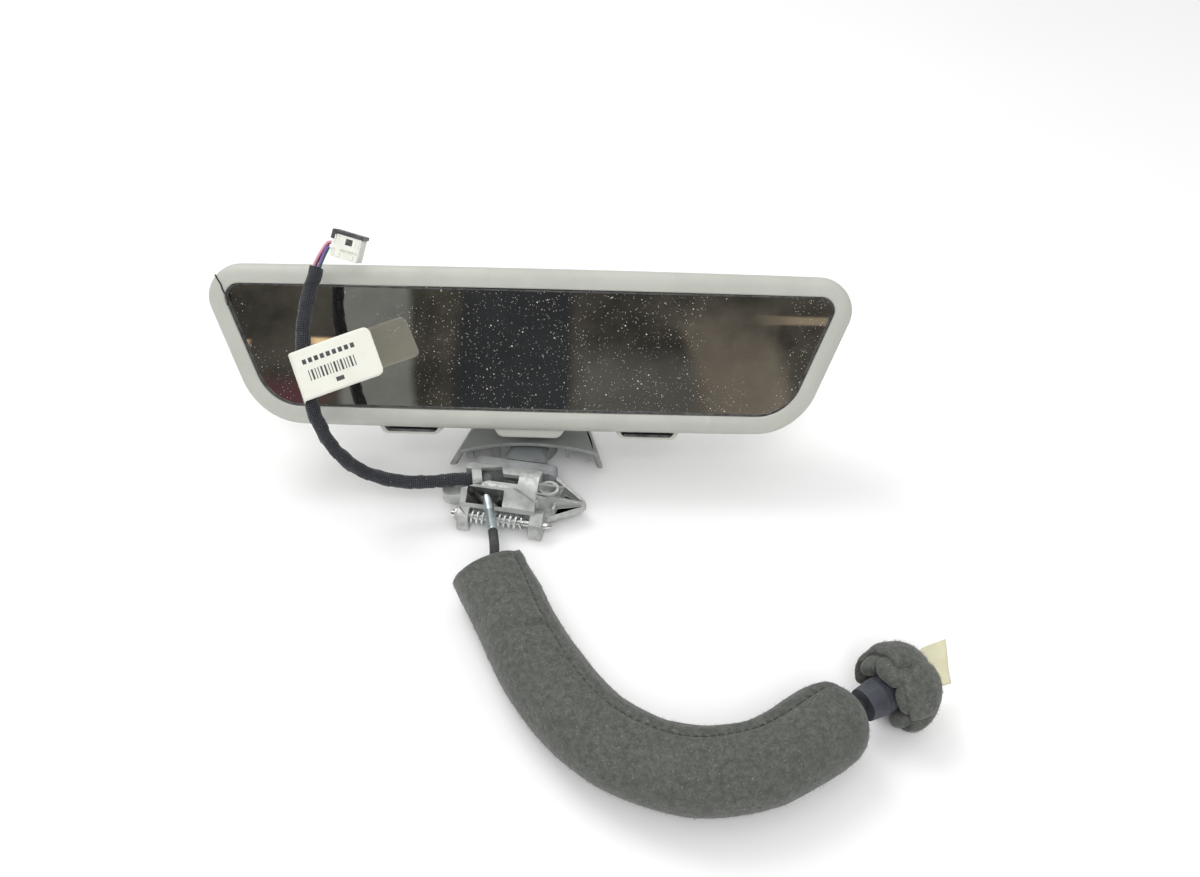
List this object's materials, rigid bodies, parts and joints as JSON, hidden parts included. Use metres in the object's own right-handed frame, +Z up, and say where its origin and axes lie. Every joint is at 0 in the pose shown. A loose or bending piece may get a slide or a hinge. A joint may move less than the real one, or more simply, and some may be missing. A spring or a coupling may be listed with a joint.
{
  "type": "interior rearview mirror",
  "caption": "Self-dimming interior rearview mirror on a ball-jointed arm with a sprung locking foot, a connector loom and a felt-covered lead.",
  "frame": {"origin": "centre of the underside of the mirror's own box (free leads left out), at the level of the surface it stands on", "axes": "+Z up, +X along the head's length to the viewer's right as seen from the glass side, +Y away from the glass side"},
  "size_m": [0.2806, 0.216, 0.1076],
  "materials": {
    "grey_plastic": "fine grained light warm grey",
    "cover_plastic": "satin mid grey",
    "die_cast": "as-cast light grey, worn bright on edges",
    "neck_cast": "darker grey casting",
    "steel": "satin",
    "screw_steel": "satin",
    "zinc_steel": "dull zinc",
    "pin_steel": "bright worn",
    "plated_sleeve": "bluish plating",
    "terminal_brass": "bright",
    "black_rubber": "matt black",
    "black_plastic": "matt black",
    "chip_black": "matt black",
    "white_plastic": "off-white",
    "dark_plug": "satin blue-black",
    "board_green": "solder resist",
    "loom_tape": "black cloth tape",
    "felt": "pilled grey-green felt",
    "label_paper": "cream paper",
    "tape": "pale yellow tape",
    "foam": "grey foam",
    "seal": "edge seal",
    "wire_violet": "insulation",
    "wire_green": "insulation",
    "wire_pink": "insulation",
    "wire_brown": "insulation",
    "mirror_face": "dark dusty mirror",
    "rear_mirror": "silvered",
    "clear_window": "smoked"
  },
  "bodies": {
    "foot": {"foot_casting": "die_cast", "neck_casting": "neck_cast", "ball_stud": "steel", "neck_lead": "black_rubber", "flange_screws": "screw_steel", "cable_guide": "black_plastic", "loom_clip": "die_cast", "latch_spring": "zinc_steel", "lead_cable": "black_rubber", "cable_sleeve": "plated_sleeve", "felt_sleeve": "felt", "plug_body": "dark_plug", "felt_cap": "felt", "tape_tag": "tape"},
    "swivel": {"socket_liner": "white_plastic", "loom": "loom_tape", "connector_housing": "white_plastic", "connector_lid": "black_plastic", "terminals": "terminal_brass", "label_flag": "label_paper", "wire_violet": "wire_violet", "wire_green": "wire_green", "wire_pink": "wire_pink", "wire_brown": "wire_brown"},
    "tilt": {"socket_cup": "steel"},
    "head": {"front_bezel": "grey_plastic", "glass_gasket": "black_rubber", "mirror_glass": "mirror_face", "cell_seal": "seal", "rear_pane": "rear_mirror", "foam_tape": "foam", "bus_clips": "zinc_steel", "glass_carrier": "black_plastic", "snap_clips": "zinc_steel", "rear_housing": "grey_plastic", "scoop_left": "grey_plastic", "scoop_right": "grey_plastic", "neck_visor": "grey_plastic", "socket_cage": "zinc_steel", "cage_screws": "screw_steel", "circuit_board": "board_green", "board_chips": "chip_black", "board_header": "white_plastic", "board_screws": "screw_steel", "light_sensor": "chip_black", "sensor_window": "clear_window"},
    "latch": {"locking_pin": "pin_steel", "retaining_ring": "zinc_steel"},
    "cover": {"foot_cover": "cover_plastic"}
  },
  "joints": [
    {"name": "head_yaw", "type": "hinge", "parent": "foot", "child": "swivel", "pos_m": [0, 0.01291, 0.03449], "axis": [0, 0, 1], "range_deg": [-18, 8], "deforming": ["loom", "connector_housing", "connector_lid", "terminals", "label_flag", "wire_violet", "wire_green", "wire_pink", "wire_brown"]},
    {"name": "head_pitch", "type": "hinge", "parent": "swivel", "child": "tilt", "pos_m": [0, 0.01291, 0.03449], "axis": [-1, 0, 0], "range_deg": [-5, 18], "deforming": ["loom", "connector_housing", "connector_lid", "terminals", "label_flag", "wire_violet", "wire_green", "wire_pink", "wire_brown"]},
    {"name": "head_roll", "type": "hinge", "parent": "tilt", "child": "head", "pos_m": [0, 0.01291, 0.03449], "axis": [0, -0.866, 0.5], "range_deg": [-4, 4], "deforming": ["loom", "connector_housing", "connector_lid", "terminals", "label_flag", "wire_violet", "wire_green", "wire_pink", "wire_brown"]},
    {"name": "latch_pin_slide", "type": "slide", "parent": "foot", "child": "latch", "axis": [0.9877, -0.1564, 0], "range_m": [-0.005, 0], "stiffness_N_per_m": 1200, "springref_m": 0.004, "deforming": ["latch_spring"]},
    {"name": "foot_cover_slide", "type": "slide", "parent": "foot", "child": "cover", "axis": [0, -1, 0], "range_m": [0, 0.005]}
  ]
}
